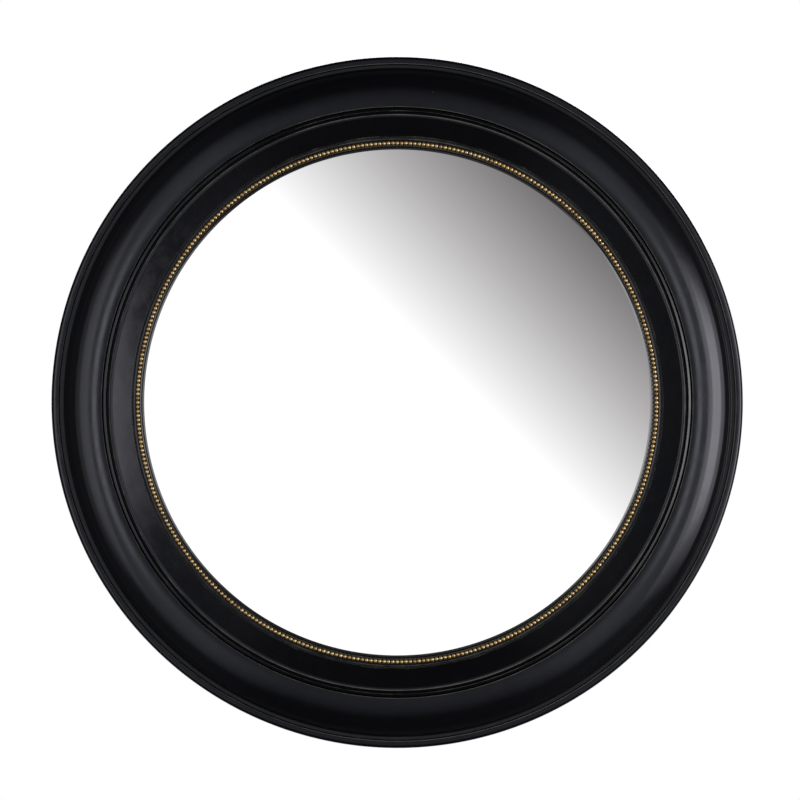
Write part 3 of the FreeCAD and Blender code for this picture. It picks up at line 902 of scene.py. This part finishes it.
WHITE = (1, 1, 1, 1)
COOL_LAMPS = (0.905, 0.9, 1.0)
COOL_WALLS = (0.81, 0.84, 1.0, 1)
CARD_GREY = (1.0, 0.975, 0.989, 1)
FLOOR_PALE = (0.86, 0.86, 0.85, 1)
FLOOR_HALF = 4.0
FLOOR_LEVEL = -1.4
CAMERA_PLACE = (0.0033, -12.0, 0.0028)
CAMERA_LENS = 466.5
CAMERA_SENSOR = 36.0

# Walls and sides: where their light changes, as tangents of the lean off the axis, and its two levels
WALL_LEANS = (0.2, 1.0)
WALL_LIGHT = (0.31, 0.025)
SIDE_SHARES = (0.35, 0.65)
SIDE_START = (0.1, 0.24)
SIDE_LEANS = (0.7, 1.3)
SIDE_LIGHT = (0.47, 0.07)
BEHIND_LIGHT = 0.05

# Card behind the camera: its edge and its slanted grading in the same tangents, and its levels
CARD_EDGE = (0.028, 0.032)
CARD_SLANTS = (0.0052, 0.024)
CARD_LEVELS = (1.0, 0.45)
CARD_CURVE = 2.2
CARD_LIGHT = 1.08
CARD_TINTS = (0.43, 0.57)

# Room in the mirror, what the mirror throws on the lip, and the ray depth between the two
ROOM_NOISE = (0.34, 0.66)
ROOM_LIGHT = (0.42, 0.88)
LIP_ACROSS = (-0.3, 0.3)
LIP_LIGHT = (1.9, 1.0)
LIP_SHARES = (0.6, 0.95)
LIP_FADE = (0.1, 1.0)
MIRROR_DEPTH = 2.5

# Softboxes: name, centre, the way it faces, width, height (metres) and radiance
SOFTBOX_FADE = (0.15, 0.5)
SOFTBOXES = [
    ("softbox_right", (1.406, -0.761, -0.03), (-0.82, 0.573, 0.0), 0.585, 1.45, 3.15),
    ("wide_right", (1.36, -0.653, -0.1), (-0.857, 0.515, 0.0), 1.18, 2.0, 1.65),
    ("panel_right", (1.98, -1.96, 0.226), (-0.766, 0.643, 0.0), 0.62, 1.9, 0.45),
    ("panel_left", (-0.724, -0.5, 0.0), (0.0, 1.0, 0.0), 0.272, 1.2, 0.8),
    ("wide_left", (-0.877, -0.5, 0.0), (0.0, 1.0, 0.0), 0.578, 1.5, 0.35),
    ("strip_right", (0.94, -2.2, 0.0), (0.0, 1.0, 0.0), 0.32, 1.5, 1.5),
    ("strip_left", (-0.94, -2.2, 0.0), (0.0, 1.0, 0.0), 0.32, 1.5, 1.7),
    ("softbox_back", (0.5, 2.4, 0.9), (-0.5, -2.4, -0.9), 1.8, 1.8, 5.0),
    ("panel_back", (0.0, 2.4, -0.9), (0.0, -2.4, 0.9), 3.6, 2.2, 1.0),
]


def make_floor():
    """Pale floor that lights the object from below and doesn't hide it from any side."""
    signs = ((-1, -1), (1, -1), (1, 1), (-1, 1))
    verts = [(x * FLOOR_HALF, y * FLOOR_HALF, FLOOR_LEVEL) for x, y in signs]
    mesh = bpy.data.meshes.new("floor")
    mesh.from_pydata(verts, [], [(0, 1, 2, 3)])
    material, tree, shader, place = new_material("floor")
    feed(tree, shader, Base_Color=FLOOR_PALE, Roughness=0.9)
    mesh.materials.append(material)
    floor = bpy.data.objects.new("floor", mesh)
    bpy.context.scene.collection.objects.link(floor)
    floor.visible_camera = False
    floor.visible_glossy = False


def make_world():
    """White to the camera, a pale room to the mirror, dim walls to the lacquer, a card on the axis."""
    world = bpy.data.worlds.new("studio")
    bpy.context.scene.world = world
    world.use_nodes = True
    tree = world.node_tree

    # Where a ray goes: how far it leans off the mirror's axis, and how much of that is sideways
    way = add(tree, "ShaderNodeTexCoord").outputs["Generated"]
    axes = add(tree, "ShaderNodeSeparateXYZ", {0: way})
    towards = sums(tree, "MULTIPLY", axes.outputs["Y"], -1.0)
    facing = sums(tree, "GREATER_THAN", towards, 0.0)
    ahead = sums(tree, "MAXIMUM", towards, 0.001)
    across = sums(tree, "DIVIDE", axes.outputs["X"], ahead)
    up = sums(tree, "DIVIDE", axes.outputs["Z"], ahead)
    flat = add(tree, "ShaderNodeCombineXYZ", {"X": across, "Y": up}).outputs[0]
    off_axis = add(tree, "ShaderNodeVectorMath", {0: flat}, operation="LENGTH").outputs["Value"]
    lean = sums(tree, "MAXIMUM", off_axis, 0.001)
    sideways = sums(tree, "DIVIDE", sums(tree, "ABSOLUTE", across), lean)

    # Walls and sides that the lacquer shows
    walls = spread(tree, off_axis, *WALL_LEANS, *WALL_LIGHT)
    sides = sums(tree, "MULTIPLY", spread(tree, sideways, *SIDE_SHARES),
                 spread(tree, off_axis, *SIDE_LEANS, *SIDE_LIGHT))
    sides = sums(tree, "MULTIPLY", sides, spread(tree, off_axis, *SIDE_START))
    around = choose(tree, facing, BEHIND_LIGHT, sums(tree, "ADD", walls, sides))

    # Card behind the camera, graded on the slant, that the mirror shows from straight ahead
    slant = sums(tree, "MULTIPLY", sums(tree, "ADD", across, up), 0.7071)
    grading = spread(tree, slant, *CARD_SLANTS, *CARD_LEVELS, smooth=False)
    card = sums(tree, "POWER", grading, CARD_CURVE)
    on_card = sums(tree, "MULTIPLY", spread(tree, off_axis, *CARD_EDGE, 1.0, 0.0), facing)

    # Room that the mirror shows from other sides, and what it throws on the lip
    path = add(tree, "ShaderNodeLightPath")
    seen = path.outputs["Is Camera Ray"]
    mirrored = path.outputs["Is Singular Ray"]
    at_once = sums(tree, "LESS_THAN", path.outputs["Ray Depth"], MIRROR_DEPTH)
    room = spread(tree, noise(tree, way, scale=12.0, detail=1.0), *ROOM_NOISE, *ROOM_LIGHT)
    beside = sums(tree, "MULTIPLY", spread(tree, across, *LIP_ACROSS, *LIP_LIGHT),
                  spread(tree, sideways, *LIP_SHARES, *LIP_FADE))
    glass = choose(tree, at_once, beside, room)

    # All of it together, with the card's faint tint at its dark end
    light = choose(tree, mirrored, around, glass)
    light = choose(tree, on_card, light, sums(tree, "MULTIPLY", card, CARD_LIGHT))
    light = choose(tree, seen, light, 1.0)
    off_card = sums(tree, "SUBTRACT", 1.0, on_card)
    pale = sums(tree, "MAXIMUM", spread(tree, card, *CARD_TINTS), off_card)
    plain = sums(tree, "MAXIMUM", sums(tree, "MAXIMUM", seen, mirrored), on_card)
    colour = tint(tree, plain, COOL_WALLS, tint(tree, pale, CARD_GREY, WHITE))
    background = tree.nodes["Background"]
    tree.links.new(colour, background.inputs["Color"])
    tree.links.new(light, background.inputs["Strength"])


def make_softbox(name, centre, facing, width, height, radiance, unlit):
    """Softbox that fades towards its upper and lower ends; pieces in unlit don't show it."""
    lamp = bpy.data.lights.new(name, "AREA")
    lamp.shape = "RECTANGLE"
    lamp.size = width
    lamp.size_y = height
    lamp.energy = radiance * math.pi * width * height
    lamp.color = COOL_LAMPS
    lamp.use_nodes = True
    tree = lamp.node_tree
    place = add(tree, "ShaderNodeNewGeometry").outputs["Parametric"]
    level = sums(tree, "SUBTRACT", add(tree, "ShaderNodeSeparateXYZ", {0: place}).outputs["Y"], 0.5)
    fade = spread(tree, sums(tree, "ABSOLUTE", level), *SOFTBOX_FADE, 1.0, 0.0)
    tree.links.new(fade, tree.nodes["Emission"].inputs["Strength"])
    box = bpy.data.objects.new(name, lamp)
    bpy.context.scene.collection.objects.link(box)
    box.location = centre
    box.rotation_euler = Vector(facing).to_track_quat("-Z", "Y").to_euler()
    box.visible_camera = False
    box.light_linking.receiver_collection = unlit


def make_softboxes():
    """All softboxes, none of which the mirror shows."""
    unlit = bpy.data.collections.new("not_lit_by_softboxes")
    unlit.objects.link(mirror)
    unlit.collection_objects[0].light_linking.link_state = "EXCLUDE"
    for row in SOFTBOXES:
        make_softbox(*row, unlit)


def make_camera():
    """Long lens near the mirror's axis."""
    lens = bpy.data.cameras.new("camera")
    lens.sensor_width = CAMERA_SENSOR
    lens.lens = CAMERA_LENS
    camera = bpy.data.objects.new("camera", lens)
    bpy.context.scene.collection.objects.link(camera)
    camera.location = CAMERA_PLACE
    camera.rotation_euler = (math.pi / 2, 0.0, 0.0)
    bpy.context.scene.camera = camera


make_floor()
make_world()
make_softboxes()
make_camera()
bpy.context.scene.view_settings.view_transform = "Standard"
